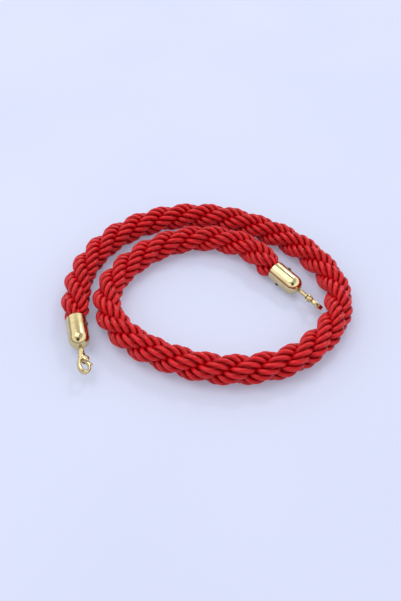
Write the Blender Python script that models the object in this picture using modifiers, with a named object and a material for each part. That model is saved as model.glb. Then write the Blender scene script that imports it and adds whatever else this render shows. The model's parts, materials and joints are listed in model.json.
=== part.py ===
"""Barrier rope: a thick twisted rope with a domed brass end cap and a swivelling snap hook at each end.

It lies in a flat spiral on the floor. Units are metres, +Z is up, z = 0 is the floor, and the origin is
the middle of the rope's footprint. Run it with: blender --background --python part.py
"""

import math

import bmesh
import bpy
import numpy as np
from mathutils import Matrix, Vector

MM = 0.001
GAP = 0.3 * MM  # between pieces that touch

# The rope
ROPE_RADIUS = 17.5 * MM
NECK_RADIUS = 13.0 * MM  # where the rope is squeezed into a cap
NECK_LENGTH = 18 * MM
LEAD_LENGTH = 12 * MM  # the rope leaves a cap straight for this far
ROPE_STATIONS = 56

# The end cap: a straight cup with a hemispherical nose
CAP_RADIUS = 13.5 * MM
CAP_LENGTH = 47 * MM
CAP_WALL = 1.3 * MM
CAP_BORE = CAP_RADIUS - CAP_WALL
CAP_STEPS = 40
NOSE_HOLE = 2.5 * MM

# The rope's bound end inside the cap
BOUND_RADIUS = CAP_BORE - 2 * GAP - 0.5 * MM
BOUND_LENGTH = 30 * MM
TAPE_LENGTH = 11 * MM
TAPE_THICKNESS = 0.5 * MM

# Two screws through the cap's side
SCREW_FROM_RIM = 15.5 * MM
SCREW_RADIUS = 1.5 * MM
SCREW_DEPTH = 9 * MM
SCREW_HEAD_RADIUS = 2.7 * MM
SCREW_HEAD_HEIGHT = 1.7 * MM

# The swivel: shank, washer and nut behind the nose
SHANK_RADIUS = NOSE_HOLE - GAP
THREAD_RADIUS = 2.0 * MM
THREAD_END = -9.0 * MM
WASHER_RADIUS = 4.5 * MM
WASHER_THICKNESS = 1.0 * MM
NUT_FLATS = 7.0 * MM
NUT_HEIGHT = 3.2 * MM

# The snap hook; its plane holds the swivel axis (z) and the thumb lever's side (x)
PLATE_THICKNESS = 6.6 * MM
PLATE_EDGE = 1.7 * MM
KNUCKLE_RADIUS = 4.4 * MM
KNUCKLE_WIDTH = 8.6 * MM
PIVOT = (3.2 * MM, 20.4 * MM)  # across, along
SLOT_WIDTH = 5.4 * MM
GATE_THICKNESS = 4.6 * MM
GATE_EDGE = 1.2 * MM
GATE_EYE_RADIUS = 3.6 * MM
SPLIT = (6.3 * MM, 36.1 * MM)  # across, along: the middle of the split between claw and gate
SPLIT_SLOPE = 26.3  # degrees down towards the lever's side
SPLIT_GAP = 0.5 * MM
LEVER_SPOT = (9.5 * MM, 26.6 * MM)  # across, along
LEVER_SIZE = (6.0 * MM, 5.2 * MM, 4.6 * MM)
POCKET_RADIUS = 2.4 * MM  # for the spring, in one side of the gate's eye
POCKET_FLOOR = 0.3 * MM
PIN_RADIUS = 0.95 * MM
PIN_HEAD_RADIUS = 1.6 * MM
PIN_HEAD_HEIGHT = 0.5 * MM
SPRING_WIRE = 0.25 * MM
SPRING_COIL = 1.6 * MM
SPRING_PITCH = 0.66 * MM
SPRING_TURNS = 1.5

# The rope's route over the floor in millimetres, from the left cap's rim to the right cap's
PLAN_CENTRE = (1.7, 0.0)  # the middle of the footprint, which is the origin
LEFT_RIM = (-168.3, -67.0)
RIGHT_RIM = (97.8, 27.2)
ROUTE = [
    (-173, -33), (-174, 4), (-166, 40), (-149, 76), (-124, 106), (-91, 129),
    (-52, 144), (-10, 148), (32, 141), (71, 124), (106, 103), (136, 76),
    (159, 43), (174, 6), (177, -34), (164, -73), (138, -107), (106, -132),
    (67, -145), (26, -148), (-15, -141), (-56, -125), (-92, -102), (-119, -71),
    (-132, -33), (-126, 6), (-105, 41), (-76, 70), (-40, 89), (-1, 96),
    (37, 88), (70, 67),
]  # fmt: skip

# Each end in degrees: heading from -Y towards +X, nose-down droop, and the turn of its screws and hook
ENDS = {
    "left": {"rim": LEFT_RIM, "heading": 14.5, "droop": 0, "screw_roll": 28, "hook_roll": -30},
    "right": {"rim": RIGHT_RIM, "heading": 38.5, "droop": 2.5, "screw_roll": 38, "hook_roll": 128},
}

COLOURS = {
    "rope_satin": ((0.40, 0.018, 0.022), 0.0, 0.55),
    "polished_brass": ((0.86, 0.70, 0.36), 1.0, 0.16),
    "dark_steel": ((0.12, 0.10, 0.08), 1.0, 0.40),
    "zinc_steel": ((0.62, 0.63, 0.64), 1.0, 0.30),
    "spring_steel": ((0.45, 0.46, 0.48), 1.0, 0.28),
    "binding_tape": ((0.75, 0.72, 0.64), 0.0, 0.70),
    "rope_core": ((0.52, 0.10, 0.10), 0.0, 0.80),
}


def clear_scene():
    for old in list(bpy.data.objects):
        bpy.data.objects.remove(old, do_unlink=True)


def new_collection(name):
    made = bpy.data.collections.new(name)
    bpy.context.scene.collection.children.link(made)
    return made


def new_material(name):
    colour, metallic, roughness = COLOURS[name]
    made = bpy.data.materials.new(name)
    made.use_nodes = True
    shader = made.node_tree.nodes["Principled BSDF"]
    shader.inputs["Base Color"].default_value = (*colour, 1.0)
    shader.inputs["Metallic"].default_value = metallic
    shader.inputs["Roughness"].default_value = roughness
    return made


def place(obj, parent=None, location=(0, 0, 0), rotation=(0, 0, 0)):
    obj.parent = parent
    obj.location = location
    obj.rotation_euler = rotation
    return obj


def as_part(obj, name, material):
    """Names an object, gives it its material and puts it in the model's collection."""
    obj.name = name
    obj.data.name = name
    obj.data.materials.clear()
    obj.data.materials.append(MATERIALS[material])
    PARTS.objects.link(obj)
    return obj


def as_cutter(obj, name):
    obj.name = name
    obj.hide_render = True
    obj.display_type = "WIRE"
    CUTTERS.objects.link(obj)
    return obj


def empty(name, parent, matrix):
    made = bpy.data.objects.new(name, None)
    made.empty_display_size = 0.01
    made.parent = parent
    made.matrix_local = matrix
    GUIDES.objects.link(made)
    return made


def combine(obj, other, operation):
    step = obj.modifiers.new(operation.lower(), "BOOLEAN")
    step.operation = operation
    step.object = other
    step.solver = "EXACT"


# Shapes


def run_lengths(points):
    """How far along the straight runs each point lies."""
    steps = np.linalg.norm(np.diff(points, axis=0), axis=1)
    return np.concatenate([[0.0], np.cumsum(steps)])


def smooth_line(points, stations):
    """Reads the natural cubic spline through the points at these lengths along them."""
    points = np.array(points, float)
    knots = run_lengths(points)
    spans = np.diff(knots)
    count = len(points)
    system = np.eye(count)
    right = np.zeros_like(points)
    for i in range(1, count - 1):
        before, after = spans[i - 1], spans[i]
        system[i, i - 1 : i + 2] = before, 2 * (before + after), after
        slope_change = (points[i + 1] - points[i]) / after - (points[i] - points[i - 1]) / before
        right[i] = 6 * slope_change
    bend = np.linalg.solve(system, right)
    stations = np.asarray(stations, float)
    i = np.clip(np.searchsorted(knots, stations, side="right") - 1, 0, count - 2)
    span = spans[i][:, None]
    a = (knots[i + 1] - stations)[:, None] / span
    b = (stations - knots[i])[:, None] / span
    curve = (a**3 - a) * bend[i] + (b**3 - b) * bend[i + 1]
    return a * points[i] + b * points[i + 1] + curve * span**2 / 6


def smooth_run(points, count):
    """count points along the spline through a whole run of points."""
    return smooth_line(points, np.linspace(0, run_lengths(points)[-1], count))


def arc(centre, radius, start, end, steps):
    """Points (r, z) on an arc, with angles in degrees from the r axis."""
    angles = [math.radians(start + (end - start) * i / steps) for i in range(steps + 1)]
    return [(centre[0] + radius * math.cos(a), centre[1] + radius * math.sin(a)) for a in angles]


def turned(profile, steps, closed=False):
    """A solid turned about Z from (r, z) points that run down its outer side."""
    mesh = bpy.data.meshes.new("turned")
    edges = [(i, i + 1) for i in range(len(profile) - 1)]
    if closed:
        edges.append((len(profile) - 1, 0))
    mesh.from_pydata([(r, 0, z) for r, z in profile], edges, [])
    obj = bpy.data.objects.new("turned", mesh)
    spin = obj.modifiers.new("turn", "SCREW")
    spin.axis = "Z"
    spin.steps = spin.render_steps = steps
    spin.use_merge_vertices = True
    spin.merge_threshold = 0.00001
    spin.use_smooth_shade = True
    return obj


def cylinder(radius, height, sides=24):
    """A closed cylinder about Z, centred on its origin."""
    shape = bmesh.new()
    bmesh.ops.create_cone(
        shape, cap_ends=True, segments=sides, radius1=radius, radius2=radius, depth=height
    )
    mesh = bpy.data.meshes.new("cylinder")
    shape.to_mesh(mesh)
    shape.free()
    return bpy.data.objects.new("cylinder", mesh)


def box(size):
    shape = bmesh.new()
    bmesh.ops.create_cube(shape, size=1.0, matrix=Matrix.Diagonal((*size, 1.0)))
    mesh = bpy.data.meshes.new("box")
    shape.to_mesh(mesh)
    shape.free()
    return bpy.data.objects.new("box", mesh)


def ellipsoid(size, rings=10, segments=18):
    shape = bmesh.new()
    bmesh.ops.create_uvsphere(
        shape, u_segments=segments, v_segments=rings, radius=0.5, matrix=Matrix.Diagonal((*size, 1))
    )
    mesh = bpy.data.meshes.new("ellipsoid")
    shape.to_mesh(mesh)
    shape.free()
    mesh.shade_smooth()
    return bpy.data.objects.new("ellipsoid", mesh)


def to_mesh_object(source, merge=0.00001):
    """The closed mesh of an object as its modifiers leave it, with a curve's loose caps welded on."""
    GUIDES.objects.link(source)
    seen = source.evaluated_get(bpy.context.evaluated_depsgraph_get())
    mesh = bpy.data.meshes.new_from_object(seen)
    solid = bpy.data.objects.new(source.name, mesh)
    solid.matrix_world = source.matrix_world
    shape = bmesh.new()
    shape.from_mesh(mesh)
    bmesh.ops.remove_doubles(shape, verts=shape.verts, dist=merge)
    bmesh.ops.recalc_face_normals(shape, faces=shape.faces)
    shape.to_mesh(mesh)
    shape.free()
    bpy.data.objects.remove(source)
    return solid


def carved(solid, steps):
    """The solid joined to and cut by its tools in its own frame, so that both ends get the same mesh."""
    for operation, tool, location in steps:
        GUIDES.objects.link(tool)
        place(tool, None, location)
        combine(solid, tool, operation)
    done = to_mesh_object(solid)
    for _, tool, _ in steps:
        bpy.data.objects.remove(tool)
    return done


def round_edges(obj, width, segments=2):
    rounded = obj.modifiers.new("edges", "BEVEL")
    rounded.width = width
    rounded.segments = segments
    rounded.limit_method = "ANGLE"
    rounded.angle_limit = math.radians(40)


def plate(outline, thickness, edge):
    """A flat outline (across, along) with rounded edges, its thickness along Y."""
    curve = bpy.data.curves.new("plate", "CURVE")
    curve.dimensions = "2D"
    curve.fill_mode = "BOTH"
    curve.extrude = thickness / 2 - edge
    curve.bevel_depth = edge
    curve.bevel_resolution = 2
    curve.offset = -edge
    spline = curve.splines.new("POLY")
    spline.points.add(len(outline) - 1)
    for point, (across, along) in zip(spline.points, outline):
        point.co = (across, along, 0, 1)
    spline.use_cyclic_u = True
    solid = to_mesh_object(bpy.data.objects.new("plate", curve))
    solid.data.transform(Matrix.Rotation(math.pi / 2, 4, "X"))
    return solid


def wire(points, radius, resolution=2, radii=None):
    """A curve object of round section through the points."""
    curve = bpy.data.curves.new("wire", "CURVE")
    curve.dimensions = "3D"
    curve.bevel_depth = radius
    curve.bevel_resolution = resolution
    curve.use_fill_caps = True
    spline = curve.splines.new("POLY")
    spline.points.add(len(points) - 1)
    for i, point in enumerate(spline.points):
        point.co = (*points[i], 1)
        point.radius = 1.0 if radii is None else radii[i]
    return bpy.data.objects.new("wire", curve)


# The ends' places


def on_floor(x, y, height):
    """A point over the floor from millimetres on the plan."""
    return Vector(((x - PLAN_CENTRE[0]) * MM, (y - PLAN_CENTRE[1]) * MM, height))


def sag(end, distance):
    """How far the straight lead has come down at this distance from the rim."""
    return max(LEAD_LENGTH - distance, 0) * math.sin(math.radians(end["droop"]))


def nose_axis(end):
    """The direction that a cap's nose points in."""
    turn = math.radians(end["heading"])
    droop = math.radians(end["droop"])
    level = math.cos(droop)
    return Vector((math.sin(turn) * level, -math.cos(turn) * level, -math.sin(droop)))


def rim_point(end):
    return on_floor(*end["rim"], ROPE_RADIUS - sag(end, 0))


def fitting_matrix(end):
    """A frame at the nose: Z out along the cap's axis, X level and to the side, Y up."""
    turn = math.radians(end["heading"])
    axis = nose_axis(end)
    side = Vector((math.cos(turn), math.sin(turn), 0))
    up = axis.cross(side)
    frame = Matrix((side, up, axis)).transposed().to_4x4()
    frame.translation = rim_point(end) + axis * CAP_LENGTH
    return frame


# The rope


def lead(end, deep):
    """Three points that run straight out of a cap: inside it, at its rim and just outside."""
    rim = rim_point(end)
    axis = nose_axis(end)
    return [rim + axis * deep, rim, rim - axis * LEAD_LENGTH]


def rope_route(deep):
    """The route's points in metres, with its two ends this deep inside the caps."""
    line = [on_floor(x, y, ROPE_RADIUS) for x, y in ROUTE]
    return lead(ENDS["left"], deep) + line + lead(ENDS["right"], deep)[::-1]


def neck(distance):
    """The rope's radius at this distance from a cap's rim."""
    t = min(distance / NECK_LENGTH, 1.0)
    return NECK_RADIUS + (ROPE_RADIUS - NECK_RADIUS) * math.sin(t * math.pi / 2)


def build_rope():
    deep = 20 * MM
    line = rope_route(deep)
    total = run_lengths(np.array(line))[-1]
    near_rim = [GAP, 4 * MM, 9 * MM, 15 * MM]
    along = np.array(
        near_rim
        + list(np.linspace(24 * MM, total - 2 * deep - 24 * MM, ROPE_STATIONS))
        + [total - 2 * deep - d for d in reversed(near_rim)]
    )
    points = smooth_line(line, along + deep)
    left_over = total - 2 * deep - along
    for point, a, b in zip(points, along, left_over):
        point[2] = ROPE_RADIUS - sag(ENDS["left"], a) - sag(ENDS["right"], b)
    radii = [neck(min(a, b)) / ROPE_RADIUS for a, b in zip(along, left_over)]
    rope = wire(points, ROPE_RADIUS, 4, radii)
    as_part(rope, "rope", "rope_satin")


# The cap and what is in it


def cap_profile():
    """The cap's wall as a closed loop: down the outside, round the rim and up the bore."""
    centre = (0, -CAP_RADIUS)
    outer_edge = math.degrees(math.acos(NOSE_HOLE / CAP_RADIUS))
    inner_edge = math.degrees(math.acos(NOSE_HOLE / CAP_BORE))
    rim = -CAP_LENGTH
    edge = 0.35 * MM
    screws = rim + SCREW_FROM_RIM
    band = [screws + SCREW_HEAD_RADIUS, screws - SCREW_HEAD_RADIUS]
    outside = arc(centre, CAP_RADIUS, outer_edge, 0, 8) + [(CAP_RADIUS, z) for z in band]
    mouth = [
        (CAP_RADIUS, rim + edge),
        (CAP_RADIUS - edge, rim),
        (CAP_BORE + edge, rim),
        (CAP_BORE, rim + edge),
    ]
    inside = [(CAP_BORE, z) for z in reversed(band)] + arc(centre, CAP_BORE, 0, inner_edge, 6)
    return outside + mouth + inside


def side_rotation(roll):
    """Turns a piece that stands along Z to stand out sideways at this roll about the axis."""
    return (0, math.pi / 2, math.radians(roll))


def bore_for_screws(obj, parent, roll, name):
    """Drills one hole straight across for both side screws."""
    drill = as_cutter(cylinder(SCREW_RADIUS + GAP, 2 * CAP_RADIUS + 4 * MM, 16), f"{name}_drill")
    height = -CAP_LENGTH + SCREW_FROM_RIM
    place(drill, parent, (0, 0, height), side_rotation(roll))
    combine(obj, drill, "DIFFERENCE")


def build_cap(side, fitting, roll):
    cap = as_part(turned(cap_profile(), CAP_STEPS, closed=True), f"{side}_end_cap", "polished_brass")
    place(cap, fitting)
    bore_for_screws(cap, fitting, roll, f"{side}_cap")


def build_bound_end(side, fitting, roll):
    """The rope's squeezed end, with a step where the binding tape is wound."""
    start = -CAP_LENGTH + GAP
    end = start + BOUND_LENGTH
    full = CAP_BORE - GAP
    taped = BOUND_RADIUS - GAP
    step = end - TAPE_LENGTH - GAP
    round_off = 1.5 * MM
    profile = [
        (0, end),
        (taped - round_off, end),
        (taped, end - round_off),
        (taped, step),
        (full, step),
        (full, start + 0.5 * MM),
        (full - 0.5 * MM, start),
        (0, start),
    ]
    bound = as_part(turned(profile, 28), f"{side}_bound_rope_end", "rope_core")
    place(bound, fitting)
    bore_for_screws(bound, fitting, roll, f"{side}_bound_end")
    tape = as_part(build_tape(end), f"{side}_binding_tape", "binding_tape")
    place(tape, fitting)


def build_tape(end):
    top = end - 1.8 * MM
    bottom = end - TAPE_LENGTH
    outer = BOUND_RADIUS + TAPE_THICKNESS
    profile = [(BOUND_RADIUS, top), (outer, top), (outer, bottom), (BOUND_RADIUS, bottom)]
    return turned(profile, 28, closed=True)


def build_screws(side, fitting, roll):
    height = -CAP_LENGTH + SCREW_FROM_RIM
    for letter, turn in (("a", roll), ("b", roll + 180)):
        head_top = SCREW_HEAD_HEIGHT
        profile = [
            (0, head_top),
            (1.3 * MM, head_top - 0.1 * MM),
            (2.2 * MM, head_top - 0.5 * MM),
            (SCREW_HEAD_RADIUS, 0.5 * MM),
            (SCREW_HEAD_RADIUS, 0),
            (SCREW_RADIUS, 0),
            (SCREW_RADIUS, -SCREW_DEPTH + 1.5 * MM),
            (0, -SCREW_DEPTH),
        ]
        name = f"{side}_cap_screw_{letter}"
        screw = as_part(turned(profile, 16), name, "dark_steel")
        out = CAP_RADIUS + 0.5 * GAP
        angle = math.radians(turn)
        spot = (math.cos(angle) * out, math.sin(angle) * out, height)
        place(screw, fitting, spot, side_rotation(turn))
        slot = as_cutter(box((0.8 * MM, 8 * MM, 1.4 * MM)), f"{name}_slot")
        place(slot, screw, (0, 0, head_top + 0.1 * MM))
        combine(screw, slot, "DIFFERENCE")


def washer_top():
    """Where a washer of that size meets the inside of the dome."""
    return -CAP_RADIUS + math.sqrt(CAP_BORE**2 - WASHER_RADIUS**2) - GAP


def build_washer(side, fitting):
    top = washer_top()
    bottom = top - WASHER_THICKNESS
    hole = SHANK_RADIUS + GAP
    profile = [(hole, top), (WASHER_RADIUS, top), (WASHER_RADIUS, bottom), (hole, bottom)]
    washer = as_part(turned(profile, 24, closed=True), f"{side}_swivel_washer", "zinc_steel")
    place(washer, fitting)


def build_nut(side, swivel):
    middle = washer_top() - WASHER_THICKNESS - GAP - NUT_HEIGHT / 2
    nut = cylinder(NUT_FLATS / math.sqrt(3), NUT_HEIGHT, 6)
    as_part(nut, f"{side}_swivel_nut", "zinc_steel")
    place(nut, swivel, (0, 0, middle))
    bore = as_cutter(cylinder(THREAD_RADIUS + GAP, 2 * NUT_HEIGHT, 20), f"{side}_nut_bore")
    place(bore, swivel, (0, 0, middle))
    combine(nut, bore, "DIFFERENCE")


# The hook


def claw_outline():
    """The hook's bent arm, from its neck round the tip and on past the slanted split from the gate."""
    outer = smooth_run(
        [(-4.9, 17.3), (-5.8, 19.8), (-7.3, 24.0), (-8.2, 28.4), (-8.1, 33.6), (-6.5, 38.6),
         (-3.2, 42.1), (0.6, 43.0), (4.4, 41.5), (7.2, 38.4), (8.2, 35.4), (8.4, 32.6)],
        34,
    )  # fmt: skip
    inner = smooth_run(
        [(4.6, 33.4), (4.3, 35.6), (3.0, 37.8), (0.8, 38.6), (-1.3, 37.9), (-2.7, 36.0), (-3.5, 33.0),
         (-3.6, 28.8), (-3.1, 25.4), (-1.9, 23.1), (0.1, 21.6)],
        24,
    )  # fmt: skip
    base = [(3.2, 19.6), (3.4, 17.8), (1.5, 16.6), (-1.5, 16.6)]
    return [(x * MM, z * MM) for x, z in [*outer, *inner, *base]]


def gate_outline():
    """The gate's arm, from its eye round the pivot and on past the slanted split from the claw."""
    across, along = PIVOT[0] / MM, PIVOT[1] / MM
    eye_radius = GATE_EYE_RADIUS / MM
    eye = [
        (across + eye_radius * math.cos(a), along + eye_radius * math.sin(a))
        for a in np.radians(np.linspace(105, 370, 20))
    ]
    outer = smooth_run([(7.6, 23.2), (8.3, 26.4), (8.6, 30.0), (8.5, 33.0), (7.9, 37.6)], 14)
    inner = smooth_run([(4.0, 39.2), (4.6, 36.9), (5.2, 34.2), (5.4, 31.0), (5.0, 27.8), (3.9, 25.2)], 14)
    return [(x * MM, z * MM) for x, z in [*eye, *outer, *inner]]


def shank_sections():
    """The shank's round thread and bearing and its fan-shaped neck: half width, half depth, height."""
    thread_tip = THREAD_RADIUS - 0.4 * MM
    neck = [(1.5, 0.8, 20.2), (3.8, 2.6, 19.3), (5.2, 3.6, 17.8), (5.5, 3.8, 16.6), (5.4, 3.5, 15.3),
            (5.1, 3.2, 14.0), (4.8, 3.0, 12.6), (4.2, 2.9, 9.6), (3.6, 2.9, 6.2), (3.2, 2.9, 3.2)]  # fmt: skip
    return [
        *[(w * MM, d * MM, z * MM) for w, d, z in neck],
        (SHANK_RADIUS, SHANK_RADIUS, 1.6 * MM),
        (SHANK_RADIUS, SHANK_RADIUS, -2.0 * MM),
        (THREAD_RADIUS, THREAD_RADIUS, -2.2 * MM),
        (THREAD_RADIUS, THREAD_RADIUS, THREAD_END + 0.4 * MM),
        (thread_tip, thread_tip, THREAD_END),
    ]


def build_shank():
    """Turned to its half widths, then flattened to its half depths."""
    sections = shank_sections()
    top, bottom = sections[0][2], sections[-1][2]
    round_one = turned([(0, top), *[(w, z) for w, _, z in sections], (0, bottom)], 24)
    shank = to_mesh_object(round_one)
    heights = [z for _, _, z in reversed(sections)]
    ratios = [depth / width for width, depth, _ in reversed(sections)]
    for vertex in shank.data.vertices:
        vertex.co.y *= np.interp(vertex.co.z, heights, ratios)
    return shank


def cross_pin(radius, width, sides):
    """A cylinder that stands along Y, the way the gate's pin does."""
    obj = cylinder(radius, width, sides)
    obj.data.transform(Matrix.Rotation(math.pi / 2, 4, "X"))
    return obj


def split_tool(side):
    """A box that ends the claw (side -1) or the gate (side 1) at the slanted split between them."""
    depth = 5 * MM
    tool = box((8 * MM, 10 * MM, depth))
    beyond = Matrix.Translation((0, 0, side * (depth - SPLIT_GAP) / 2))
    tool.data.transform(Matrix.Rotation(math.radians(SPLIT_SLOPE), 4, "Y") @ beyond)
    return tool


def hook_solid():
    across, along = PIVOT
    pivot = (across, 0, along)
    knuckle = cross_pin(KNUCKLE_RADIUS, KNUCKLE_WIDTH, 28)
    round_edges(knuckle, 0.9 * MM)
    slot_radius = GATE_EYE_RADIUS + GAP
    steps = [
        ("UNION", build_shank(), (0, 0, 0)),
        ("UNION", knuckle, pivot),
        ("DIFFERENCE", cross_pin(slot_radius, SLOT_WIDTH, 32), pivot),
    ]
    mouth = 10 * MM
    for left, low in ((0, -slot_radius), (-slot_radius, 2.4 * MM)):
        wide, tall = mouth - left, mouth - low
        middle = (across + left + wide / 2, 0, along + low + tall / 2)
        steps.append(("DIFFERENCE", box((wide, SLOT_WIDTH, tall)), middle))
    for face in (-1, 1):
        groove = ellipsoid((2.0 * MM, 1.6 * MM, 10.4 * MM))
        steps.append(("DIFFERENCE", groove, (0, face * 3.2 * MM, 8.7 * MM)))
    steps.append(("DIFFERENCE", cross_pin(PIN_RADIUS + GAP, 2 * KNUCKLE_WIDTH, 16), pivot))
    steps.append(("DIFFERENCE", split_tool(-1), (SPLIT[0], 0, SPLIT[1])))
    return carved(plate(claw_outline(), PLATE_THICKNESS, PLATE_EDGE), steps)


def gate_solid():
    """The gate is drawn in the hook's frame, then moved to turn about its own origin."""
    across, along = PIVOT
    arm = plate(gate_outline(), GATE_THICKNESS, GATE_EDGE)
    pocket = cross_pin(POCKET_RADIUS, GATE_THICKNESS, 24)
    bore = cross_pin(PIN_RADIUS + GAP, 2 * KNUCKLE_WIDTH, 16)
    steps = [
        ("UNION", ellipsoid(LEVER_SIZE), (LEVER_SPOT[0], 0, LEVER_SPOT[1])),
        ("DIFFERENCE", pocket, (across, POCKET_FLOOR + GATE_THICKNESS / 2, along)),
        ("DIFFERENCE", bore, (across, 0, along)),
        ("DIFFERENCE", split_tool(1), (SPLIT[0], 0, SPLIT[1])),
    ]
    gate = carved(arm, steps)
    gate.data.transform(Matrix.Translation((-across, 0, -along)))
    return gate


def build_pin(side, swivel):
    across, along = PIVOT
    seat = KNUCKLE_WIDTH / 2 + GAP
    top = seat + PIN_HEAD_HEIGHT
    head = [(0, top), (PIN_HEAD_RADIUS - 0.4 * MM, top), (PIN_HEAD_RADIUS, top - 0.3 * MM)]
    neck_line = [(PIN_HEAD_RADIUS, seat), (PIN_RADIUS, seat)]
    upper = head + neck_line
    profile = upper + [(r, -z) for r, z in reversed(upper)]
    pin = as_part(turned(profile, 20), f"{side}_gate_pin", "polished_brass")
    place(pin, swivel, (across, 0, along), (math.pi / 2, 0, 0))


def build_spring(side, swivel):
    """A small coil round the pin, in the pocket of the gate's eye."""
    across, along = PIVOT
    steps = int(SPRING_TURNS * 14)
    first_height = POCKET_FLOOR + GAP + SPRING_WIRE
    coil = []
    for i in range(steps + 1):
        turns = SPRING_TURNS * i / steps
        angle = 2 * math.pi * turns
        rise = first_height + SPRING_PITCH * turns
        coil.append((SPRING_COIL * math.cos(angle), rise, SPRING_COIL * math.sin(angle)))
    spring = as_part(wire(coil, SPRING_WIRE), f"{side}_gate_spring", "spring_steel")
    place(spring, swivel, (across, 0, along))


def build_end(side, end):
    fitting = empty(f"{side}_fitting", None, fitting_matrix(end))
    build_cap(side, fitting, end["screw_roll"])
    build_bound_end(side, fitting, end["screw_roll"])
    build_screws(side, fitting, end["screw_roll"])
    build_washer(side, fitting)
    roll = Matrix.Rotation(math.radians(end["hook_roll"]), 4, "Z")
    swivel = empty(f"{side}_swivel_axis", fitting, roll)
    build_nut(side, swivel)
    place(as_part(hook_solid(), f"{side}_hook", "polished_brass"), swivel)
    build_pin(side, swivel)
    build_spring(side, swivel)
    pivot = empty(f"{side}_gate_axis", swivel, Matrix.Translation((PIVOT[0], 0, PIVOT[1])))
    place(as_part(gate_solid(), f"{side}_gate", "polished_brass"), pivot)


clear_scene()
PARTS = new_collection("barrier_rope")
CUTTERS = new_collection("cutters")
GUIDES = new_collection("guides")
MATERIALS = {name: new_material(name) for name in COLOURS}
build_rope()
for side_name, end_facts in ENDS.items():
    build_end(side_name, end_facts)
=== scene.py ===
"""Looks for the barrier rope: a three-strand satin rope with polished brass fittings.

Units are metres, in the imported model's frame: +Z is up and z = 0 is the floor.
"""

import json
import math

import bmesh
import bpy
import numpy as np
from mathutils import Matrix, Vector

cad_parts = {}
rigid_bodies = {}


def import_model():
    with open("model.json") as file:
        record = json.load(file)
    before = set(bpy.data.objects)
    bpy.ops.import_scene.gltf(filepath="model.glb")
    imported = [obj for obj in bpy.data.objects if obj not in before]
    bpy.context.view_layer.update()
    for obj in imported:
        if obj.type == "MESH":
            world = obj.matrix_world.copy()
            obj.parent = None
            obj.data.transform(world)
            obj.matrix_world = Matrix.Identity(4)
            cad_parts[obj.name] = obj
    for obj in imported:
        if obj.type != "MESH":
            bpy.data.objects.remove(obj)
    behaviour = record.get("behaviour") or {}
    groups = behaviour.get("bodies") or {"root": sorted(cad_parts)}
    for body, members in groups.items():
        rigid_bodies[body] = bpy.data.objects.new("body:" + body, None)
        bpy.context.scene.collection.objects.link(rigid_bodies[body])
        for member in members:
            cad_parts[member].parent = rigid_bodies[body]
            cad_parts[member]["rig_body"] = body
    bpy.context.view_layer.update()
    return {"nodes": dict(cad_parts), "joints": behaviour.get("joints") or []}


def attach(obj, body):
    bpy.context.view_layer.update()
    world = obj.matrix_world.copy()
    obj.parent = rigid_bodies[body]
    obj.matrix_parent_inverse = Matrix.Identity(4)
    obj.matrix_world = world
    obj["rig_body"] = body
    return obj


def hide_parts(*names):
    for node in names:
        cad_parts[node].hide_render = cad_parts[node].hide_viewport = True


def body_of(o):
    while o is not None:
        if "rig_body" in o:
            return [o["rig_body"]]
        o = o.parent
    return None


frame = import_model()

MM = 0.001
UP = np.array([0.0, 0.0, 1.0])

# The photograph's camera: it looks down at the table from the front
CAMERA_PLACE = (-0.0087, -0.6251, 0.6318)
CAMERA_TILT = 44  # degrees away from straight down
CAMERA_LENS = 38.34  # millimetres, like the sensor's height
SENSOR_HEIGHT = 36

# The rope, with the same route over the floor as its CAD solid
ROPE_RADIUS = 17.5 * MM
NECK_RADIUS = 11.8 * MM  # at a cap's rim
NECK_LENGTH = 20 * MM  # from the rim to the full width
LEAD_LENGTH = 12 * MM  # straight, along the cap's axis
DEEP = 20 * MM  # how far the route goes on into each cap
GAP = 0.3 * MM  # between the rope's end and the cap's rim
CAP_LENGTH = 47 * MM
PLAN_CENTRE = (0.0017, 0.0)
ROUTE = [
    (-0.173, -0.033), (-0.174, 0.004), (-0.166, 0.040), (-0.149, 0.076), (-0.124, 0.106),
    (-0.091, 0.129), (-0.052, 0.144), (-0.010, 0.148), (0.032, 0.141), (0.071, 0.124),
    (0.106, 0.103), (0.136, 0.076), (0.159, 0.043), (0.174, 0.006), (0.177, -0.034),
    (0.164, -0.073), (0.138, -0.107), (0.106, -0.132), (0.067, -0.145), (0.026, -0.148),
    (-0.015, -0.141), (-0.056, -0.125), (-0.092, -0.102), (-0.119, -0.071), (-0.132, -0.033),
    (-0.126, 0.006), (-0.105, 0.041), (-0.076, 0.070), (-0.040, 0.089), (-0.001, 0.096),
    (0.037, 0.088), (0.070, 0.067),
]  # fmt: skip
STATION_STEP = 2.0 * MM  # between two rings of points along the rope

# How it is laid: three strands, each of four cords round a core, with the cords turned the other way
STRANDS = 3
STRAND_LAY = 112 * MM  # one full turn of a strand round the rope
STRAND_OFFSET = 9.8 * MM
STRAND_START = 60.0  # degrees, at the left rim
# Handling has pushed the lay along the rope: (distance from the left rim, how far), in millimetres
LAY_SLIP = [(0, 21), (100, 18), (200, 12), (360, 10), (450, 7), (600, -4), (690, -4), (840, 3),
            (950, 8), (1100, 3), (1340, 2)]  # fmt: skip
CORDS = 4
CORD_LAY = 30 * MM  # one full turn of a cord against its strand
CORD_OFFSET = 6.3 * MM
CORD_RADIUS = 3.45 * MM
CORE_RADIUS = 5.2 * MM
CORD_SIDES = 12

# Metres between the texture's starts, so that no two cords show the same stretch of it
STRAND_TEXTURE_STEP = 10.0
CORD_TEXTURE_STEP = 1.37

# The cords' colour from the middle of the crown (0) to the fold between two cords (0.5): a painted
# highlight on the crown and painted shade in the fold
CROWN_HIGHLIGHT_TO_FOLD_SHADE = [
    (0.0, (0.92, 0.019, 0.027)), (0.09, (0.72, 0.007, 0.012)), (0.20, (0.50, 0.002, 0.006)),
    (0.5, (0.26, 0.0, 0.002)),
]  # fmt: skip

# Cells of noise per metre along a cord and per turn round it
THREAD_CELLS = (90, 26, 1)
PATCH_CELLS = (14, 1, 1)

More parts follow.
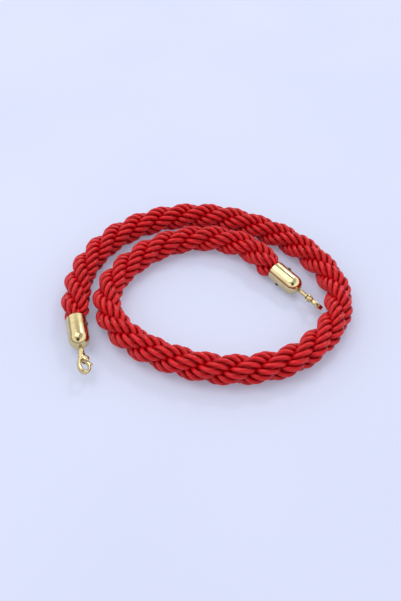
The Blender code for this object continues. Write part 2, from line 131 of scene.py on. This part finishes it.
# The fittings in sight, which get smooth shading
FITTINGS = ["end_cap", "cap_screw_a", "cap_screw_b", "hook", "gate", "gate_pin"]
WELD = 0.002 * MM
SHARP_ANGLE = 33.0  # degrees between two facets, from which an edge stays sharp

# The studio that the brass mirrors, by height: 0 at the horizon and below it, 1 straight up
WALL_FOOT = (0.36, 0.36, 0.38)
WALL_BAND = (1.0, 1.0, 1.0)
CEILING = (0.44, 0.46, 0.50)
WALLS = [
    (0.0, WALL_FOOT), (0.20, WALL_FOOT), (0.40, WALL_BAND), (0.64, WALL_BAND), (0.82, CEILING),
    (1.0, CEILING),
]  # fmt: skip
STUDIO_STRENGTH = 1.24

# The dark camera in it: brightness by the cosine of the angle to the camera's direction
CAMERA_DIRECTION = (-0.05, -0.70, 0.71)
CAMERA_SPOT = [(0.93, (1.0, 1.0, 1.0)), (0.97, (0.08, 0.08, 0.08))]

TABLE_HALF_WIDTH = 20.0
TABLE_TONES = [(0.3, (0.50, 0.53, 0.66)), (0.7, (0.52, 0.55, 0.67))]

# Fibres inside the caps: the tape, and the bound end of the rope under it
TAPE_TONES = [(0.3, (0.62, 0.58, 0.50)), (0.7, (0.78, 0.75, 0.68))]
CORE_TONES = [(0.3, (0.16, 0.006, 0.008)), (0.7, (0.34, 0.014, 0.018))]

# The mix node's sockets for colours, which share their names with its other sockets
MIX_FIRST = 6
MIX_SECOND = 7
MIX_RESULT = 2


# Camera


def add_camera():
    data = bpy.data.cameras.new("camera")
    data.sensor_fit = "VERTICAL"
    data.sensor_height = SENSOR_HEIGHT
    data.lens = CAMERA_LENS
    camera = bpy.data.objects.new("camera", data)
    camera.location = CAMERA_PLACE
    camera.rotation_euler = (math.radians(CAMERA_TILT), 0, 0)
    bpy.context.scene.collection.objects.link(camera)
    bpy.context.scene.camera = camera


# The rope's centreline


def run_lengths(points):
    steps = np.linalg.norm(np.diff(points, axis=0), axis=1)
    return np.concatenate([[0.0], np.cumsum(steps)])


def smooth_line(points, stations):
    """Reads the natural cubic spline through the points at these lengths along them."""
    knots = run_lengths(points)
    spans = np.diff(knots)
    count = len(points)
    system = np.eye(count)
    right = np.zeros_like(points)
    for i in range(1, count - 1):
        before, after = spans[i - 1], spans[i]
        system[i, i - 1 : i + 2] = before, 2 * (before + after), after
        slope_change = (points[i + 1] - points[i]) / after - (points[i] - points[i - 1]) / before
        right[i] = 6 * slope_change
    bend = np.linalg.solve(system, right)
    i = np.clip(np.searchsorted(knots, stations, side="right") - 1, 0, count - 2)
    span = spans[i][:, None]
    a = (knots[i + 1] - stations)[:, None] / span
    b = (stations - knots[i])[:, None] / span
    curve = (a**3 - a) * bend[i] + (b**3 - b) * bend[i + 1]
    return a * points[i] + b * points[i + 1] + curve * span**2 / 6


def cap_ends(side):
    """The middle of a cap's rim and the direction that its nose points in."""
    swivel = next(j for j in frame["joints"] if j["name"] == f"{side}_hook_swivel")
    axis = np.array(swivel["axis"])
    return np.array(swivel["pos_m"]) - axis * CAP_LENGTH, axis


def lead(side):
    rim, axis = cap_ends(side)
    return [rim + axis * DEEP, rim, rim - axis * LEAD_LENGTH]


def sag(side, distance):
    """How far the straight lead has come down at this distance from the rim."""
    _, axis = cap_ends(side)
    return np.maximum(LEAD_LENGTH - distance, 0) * -axis[2]


def rope_centreline():
    """Stations along the rope from rim to rim, and its points there."""
    x0, y0 = PLAN_CENTRE
    on_floor = [np.array([x - x0, y - y0, ROPE_RADIUS]) for x, y in ROUTE]
    points = np.array(lead("left") + on_floor + lead("right")[::-1])
    length = run_lengths(points)[-1] - 2 * DEEP
    count = round(length / STATION_STEP)
    stations = np.linspace(GAP, length - GAP, count)
    line = smooth_line(points, stations + DEEP)
    line[:, 2] = ROPE_RADIUS - sag("left", stations) - sag("right", length - stations)
    return stations, line


def neck_scale(stations):
    """The rope's width, as a part of its full width, where it is squeezed into the caps."""
    from_rim = np.minimum(stations, stations[-1] + GAP - stations)
    part = np.minimum(from_rim / NECK_LENGTH, 1.0)
    eased = part**2 * (3 - 2 * part)
    return (NECK_RADIUS + (ROPE_RADIUS - NECK_RADIUS) * eased) / ROPE_RADIUS


# Strands and cords


def unit(vectors):
    return vectors / np.linalg.norm(vectors, axis=1)[:, None]


def directions(line):
    return unit(np.gradient(line, axis=0))


def around(first, second, angle):
    return np.cos(angle)[:, None] * first + np.sin(angle)[:, None] * second


def rings(line, outward, radius):
    """Rings of points square to the line; the first point of each ring lies on the outward side."""
    along = directions(line)
    first = unit(outward - np.sum(outward * along, axis=1)[:, None] * along)
    second = np.cross(along, first)
    turns = np.linspace(0, 2 * math.pi, CORD_SIDES, endpoint=False)
    return np.stack(
        [line + radius[:, None] * (math.cos(t) * first + math.sin(t) * second) for t in turns],
        axis=1,
    )


class TubeMesh:
    """Collects closed tubes of rings, with U along each tube in metres and V round it from 0 to 1."""

    def __init__(self):
        self.points = []
        self.faces = []
        self.uvs = []
        self.count = 0

    def add(self, ring_points, distance):
        stations, sides, _ = ring_points.shape
        base = self.count
        points = ring_points.reshape(-1, 3)
        points[:, 2] = np.maximum(points[:, 2], 0)  # flat where it rests on the floor
        self.points.append(points)
        self.count += stations * sides
        for i in range(stations - 1):
            low, high = base + i * sides, base + (i + 1) * sides
            for j in range(sides):
                k = (j + 1) % sides
                self.faces.append((low + j, low + k, high + k, high + j))
                v0, v1 = j / sides, (j + 1) / sides
                u0, u1 = distance[i], distance[i + 1]
                self.uvs += [u0, v0, u0, v1, u1, v1, u1, v0]
        for row, order in ((0, -1), (stations - 1, 1)):
            cap = [base + row * sides + j for j in range(sides)][::order]
            self.faces.append(tuple(cap))
            self.uvs += [distance[row], 0.5] * sides

    def build(self, name, material):
        mesh = bpy.data.meshes.new(name)
        mesh.from_pydata(np.concatenate(self.points).tolist(), [], self.faces)
        layer = mesh.uv_layers.new(name="along_and_round")
        layer.data.foreach_set("uv", self.uvs)
        mesh.shade_smooth()
        mesh.materials.append(material)
        obj = bpy.data.objects.new(name, mesh)
        bpy.context.scene.collection.objects.link(obj)
        return obj


def build_rope(material):
    """The twisted rope as one piece, and the points of its centreline."""
    stations, line = rope_centreline()
    along = directions(line)
    level = unit(np.cross(UP, along))
    above = np.cross(along, level)
    scale = neck_scale(stations)
    slip_at, slip = np.array(LAY_SLIP, float).T * MM
    laid = stations + np.interp(stations, slip_at, slip)
    tubes = TubeMesh()
    for strand in range(STRANDS):
        turn = math.radians(STRAND_START) + 2 * math.pi * (strand / STRANDS - laid / STRAND_LAY)
        outward = around(level, above, turn)
        strand_line = line + outward * (STRAND_OFFSET * scale)[:, None]
        sideways = np.cross(directions(strand_line), outward)
        start = strand * STRAND_TEXTURE_STEP
        tubes.add(rings(strand_line, outward, CORE_RADIUS * scale), stations + start)
        for cord in range(CORDS):
            cord_turn = 2 * math.pi * (cord / CORDS + stations / CORD_LAY)
            from_strand = around(outward, sideways, cord_turn)
            cord_line = strand_line + from_strand * (CORD_OFFSET * scale)[:, None]
            cord_rings = rings(cord_line, from_strand, CORD_RADIUS * scale)
            tubes.add(cord_rings, stations + start + CORD_TEXTURE_STEP * (cord + 1))
    return tubes.build("satin_rope", material), line


# Materials


def new_material(name, **values):
    """A node material with these values on its shader's own sockets."""
    made = bpy.data.materials.new(name)
    made.use_nodes = True
    shader = made.node_tree.nodes["Principled BSDF"]
    for socket, value in values.items():
        shader.inputs[socket.replace("_", " ")].default_value = value
    return made


def add_node(owner, kind, **inputs):
    """A node for a material or world, with these values or links on its inputs."""
    node = owner.node_tree.nodes.new(kind)
    for socket, value in inputs.items():
        socket = node.inputs[socket.replace("_", " ")]
        if isinstance(value, bpy.types.NodeSocket):
            owner.node_tree.links.new(value, socket)
        else:
            socket.default_value = value
    return node


def link(material, output, socket):
    shader = material.node_tree.nodes["Principled BSDF"]
    material.node_tree.links.new(output, shader.inputs[socket])


def ramp(owner, value, stops):
    node = add_node(owner, "ShaderNodeValToRGB", Fac=value)
    elements = node.color_ramp.elements
    elements[0].position, elements[0].color = stops[0][0], (*stops[0][1], 1)
    elements[1].position, elements[1].color = stops[-1][0], (*stops[-1][1], 1)
    for position, colour in stops[1:-1]:
        elements.new(position).color = (*colour, 1)
    return node.outputs["Color"]


def noise(material, vector, scale, detail=2.0):
    return add_node(material, "ShaderNodeTexNoise", Vector=vector, Scale=scale, Detail=detail)


def bump(material, height, strength, distance):
    node = add_node(
        material, "ShaderNodeBump", Height=height, Strength=strength, Distance=distance
    )
    link(material, node.outputs["Normal"], "Normal")


def multiply(owner, first, second):
    node = add_node(owner, "ShaderNodeMix", Factor=1.0)
    node.data_type = "RGBA"
    node.blend_type = "MULTIPLY"
    owner.node_tree.links.new(first, node.inputs[MIX_FIRST])
    owner.node_tree.links.new(second, node.inputs[MIX_SECOND])
    return node.outputs[MIX_RESULT]


def grey(value):
    return (value, value, value)


def satin_material():
    """Silky filament yarn: fine threads along each cord, with a painted highlight on its crown and
    painted shade in its folds.
    """
    made = new_material(
        "rope_satin",
        Roughness=0.23,
        Specular_IOR_Level=0.45,
        Specular_Tint=(1.0, 0.55, 0.52, 1),
    )
    uv = add_node(made, "ShaderNodeTexCoord").outputs["UV"]
    split = add_node(made, "ShaderNodeSeparateXYZ", Vector=uv)
    stretched = add_node(made, "ShaderNodeMapping", Vector=uv, Scale=THREAD_CELLS).outputs[0]
    threads = noise(made, stretched, 1.0, 3.0).outputs["Fac"]
    slow = add_node(made, "ShaderNodeMapping", Vector=uv, Scale=PATCH_CELLS).outputs[0]
    patches = noise(made, slow, 1.0, 2.0).outputs["Fac"]
    # Painted highlight and shade: paler on each cord's crown and darker towards the folds between
    # cords, by V round the cord
    around_cord = add_node(made, "ShaderNodeMath", Value=split.outputs["Y"])
    around_cord.operation = "PINGPONG"
    around_cord.inputs[1].default_value = CROWN_HIGHLIGHT_TO_FOLD_SHADE[-1][0]
    painted_crown_and_fold = ramp(made, around_cord.outputs[0], CROWN_HIGHLIGHT_TO_FOLD_SHADE)
    patch_tint = ramp(made, patches, [(0.3, grey(0.76)), (0.7, grey(1.0))])
    thread_tint = ramp(made, threads, [(0.36, grey(0.74)), (0.60, grey(1.08))])
    colour = multiply(made, multiply(made, painted_crown_and_fold, patch_tint), thread_tint)
    link(made, colour, "Base Color")
    bump(made, threads, 0.7, 0.5 * MM)
    return made


def metal_material(name, light, dark, roughness, wear_scale):
    """Polished metal: slow colour changes, small changes in gloss and the finest polishing marks."""
    made = new_material(name, Metallic=1.0)
    place = add_node(made, "ShaderNodeTexCoord").outputs["Object"]
    slow = noise(made, place, wear_scale, 3.0).outputs["Fac"]
    link(made, ramp(made, slow, [(0.35, dark), (0.65, light)]), "Base Color")
    smudges = noise(made, place, wear_scale * 4, 4.0).outputs["Fac"]
    low, high = roughness
    link(made, ramp(made, smudges, [(0.3, grey(low)), (0.75, grey(high))]), "Roughness")
    marks = noise(made, place, 2600.0, 2.0).outputs["Fac"]
    bump(made, marks, 0.12, 0.05 * MM)
    return made


def tape_material():
    made = new_material("binding_tape", Roughness=0.7)
    place = add_node(made, "ShaderNodeTexCoord").outputs["Object"]
    fibres = noise(made, place, 900.0, 3.0).outputs["Fac"]
    link(made, ramp(made, fibres, TAPE_TONES), "Base Color")
    bump(made, fibres, 0.4, 0.1 * MM)
    return made


def core_material():
    made = new_material("rope_core", Roughness=0.8, Sheen_Weight=0.2)
    place = add_node(made, "ShaderNodeTexCoord").outputs["Object"]
    fibres = noise(made, place, 700.0, 3.0).outputs["Fac"]
    link(made, ramp(made, fibres, CORE_TONES), "Base Color")
    bump(made, fibres, 0.5, 0.2 * MM)
    return made


def make_materials():
    return {
        "polished_brass": metal_material(
            "polished_brass", (0.76, 0.63, 0.35), (0.62, 0.50, 0.25), (0.09, 0.17), 70.0
        ),
        "dark_steel": metal_material(
            "dark_steel", (0.20, 0.15, 0.10), (0.07, 0.05, 0.035), (0.28, 0.45), 200.0
        ),
        "zinc_steel": metal_material(
            "zinc_steel", (0.68, 0.69, 0.70), (0.52, 0.53, 0.54), (0.25, 0.38), 160.0
        ),
        "spring_steel": metal_material(
            "spring_steel", (0.50, 0.51, 0.53), (0.36, 0.37, 0.38), (0.22, 0.32), 300.0
        ),
        "binding_tape": tape_material(),
        "rope_core": core_material(),
    }


def finish_cad_nodes(materials):
    """Every CAD node keeps its shape and takes the finer material of its own slot."""
    for obj in frame["nodes"].values():
        for slot in obj.material_slots:
            wanted = slot.material.name.split(".")[0]
            if wanted in materials:
                slot.material = materials[wanted]


def polish(node, materials):
    """A piece that stands for a CAD node: the same shape, with its facets shaded as one smooth face."""
    source = frame["nodes"][node]
    slot_name = source.material_slots[0].material.name.split(".")[0]
    shape = bmesh.new()
    shape.from_mesh(source.data)
    bmesh.ops.remove_doubles(shape, verts=shape.verts, dist=WELD)
    for face in shape.faces:
        face.smooth = True
    for edge in shape.edges:
        edge.smooth = edge.calc_face_angle(0.0) < math.radians(SHARP_ANGLE)
    mesh = bpy.data.meshes.new(f"polished_{node}")
    shape.to_mesh(mesh)
    shape.free()
    if "custom_normal" in mesh.attributes:
        mesh.attributes.remove(mesh.attributes["custom_normal"])
    mesh.materials.clear()
    mesh.materials.append(materials[slot_name])
    piece = bpy.data.objects.new(f"polished_{node}", mesh)
    bpy.context.scene.collection.objects.link(piece)
    piece.matrix_world = source.matrix_world
    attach(piece, body_of(source)[0])
    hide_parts(node)
    return piece


# Floor and light


def add_floor():
    """A pale table that glows a little, so that shadows stay faint."""
    mesh = bpy.data.meshes.new("floor")
    half = TABLE_HALF_WIDTH
    corners = [(-half, -half, 0), (half, -half, 0), (half, half, 0), (-half, half, 0)]
    mesh.from_pydata(corners, [], [(0, 1, 2, 3)])
    glow = {"Emission_Color": (0.70, 0.75, 1.0, 1), "Emission_Strength": 0.24}
    made = new_material("floor", Roughness=0.75, Specular_IOR_Level=0.2, **glow)
    place = add_node(made, "ShaderNodeTexCoord").outputs["Object"]
    slow = noise(made, place, 3.0, 1.0).outputs["Fac"]
    link(made, ramp(made, slow, TABLE_TONES), "Base Color")
    mesh.materials.append(made)
    floor = bpy.data.objects.new("floor", mesh)
    bpy.context.scene.collection.objects.link(floor)


def add_light(name, location, size, energy):
    """A square panel that faces the middle of the rope."""
    data = bpy.data.lights.new(name, "AREA")
    data.size = size
    data.energy = energy
    light = bpy.data.objects.new(name, data)
    light.location = location
    aim = -Vector(location)
    light.rotation_euler = aim.to_track_quat("-Z", "Y").to_euler()
    bpy.context.scene.collection.objects.link(light)


def add_world():
    """A studio's walls: a bright band all round, a dimmer ceiling and horizon, and a dark camera."""
    world = bpy.data.worlds.new("studio")
    world.use_nodes = True
    direction = add_node(world, "ShaderNodeTexCoord").outputs["Generated"]
    height = add_node(world, "ShaderNodeSeparateXYZ", Vector=direction).outputs["Z"]
    walls = ramp(world, height, WALLS)
    facing = add_node(world, "ShaderNodeVectorMath")
    facing.operation = "DOT_PRODUCT"
    facing.inputs[1].default_value = Vector(CAMERA_DIRECTION).normalized()
    world.node_tree.links.new(direction, facing.inputs[0])
    beside = ramp(world, facing.outputs["Value"], CAMERA_SPOT)
    background = world.node_tree.nodes["Background"]
    world.node_tree.links.new(multiply(world, walls, beside), background.inputs["Color"])
    background.inputs["Strength"].default_value = STUDIO_STRENGTH
    bpy.context.scene.world = world
    bpy.context.scene.view_settings.view_transform = "Standard"


add_camera()
ROPE, LINE = build_rope(satin_material())
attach(ROPE, "rope_and_caps")
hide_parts("rope")
MATERIALS = make_materials()
for fitting in FITTINGS:
    polish(f"left_{fitting}", MATERIALS)
RIGHT_END = [polish(f"right_{fitting}", MATERIALS) for fitting in FITTINGS]
finish_cad_nodes(MATERIALS)
add_floor()
add_world()
add_light("key", location=(-0.9, 0.3, 2.6), size=2.0, energy=21)
add_light("back", location=(1.5, 3.0, 3.1), size=0.6, energy=26)
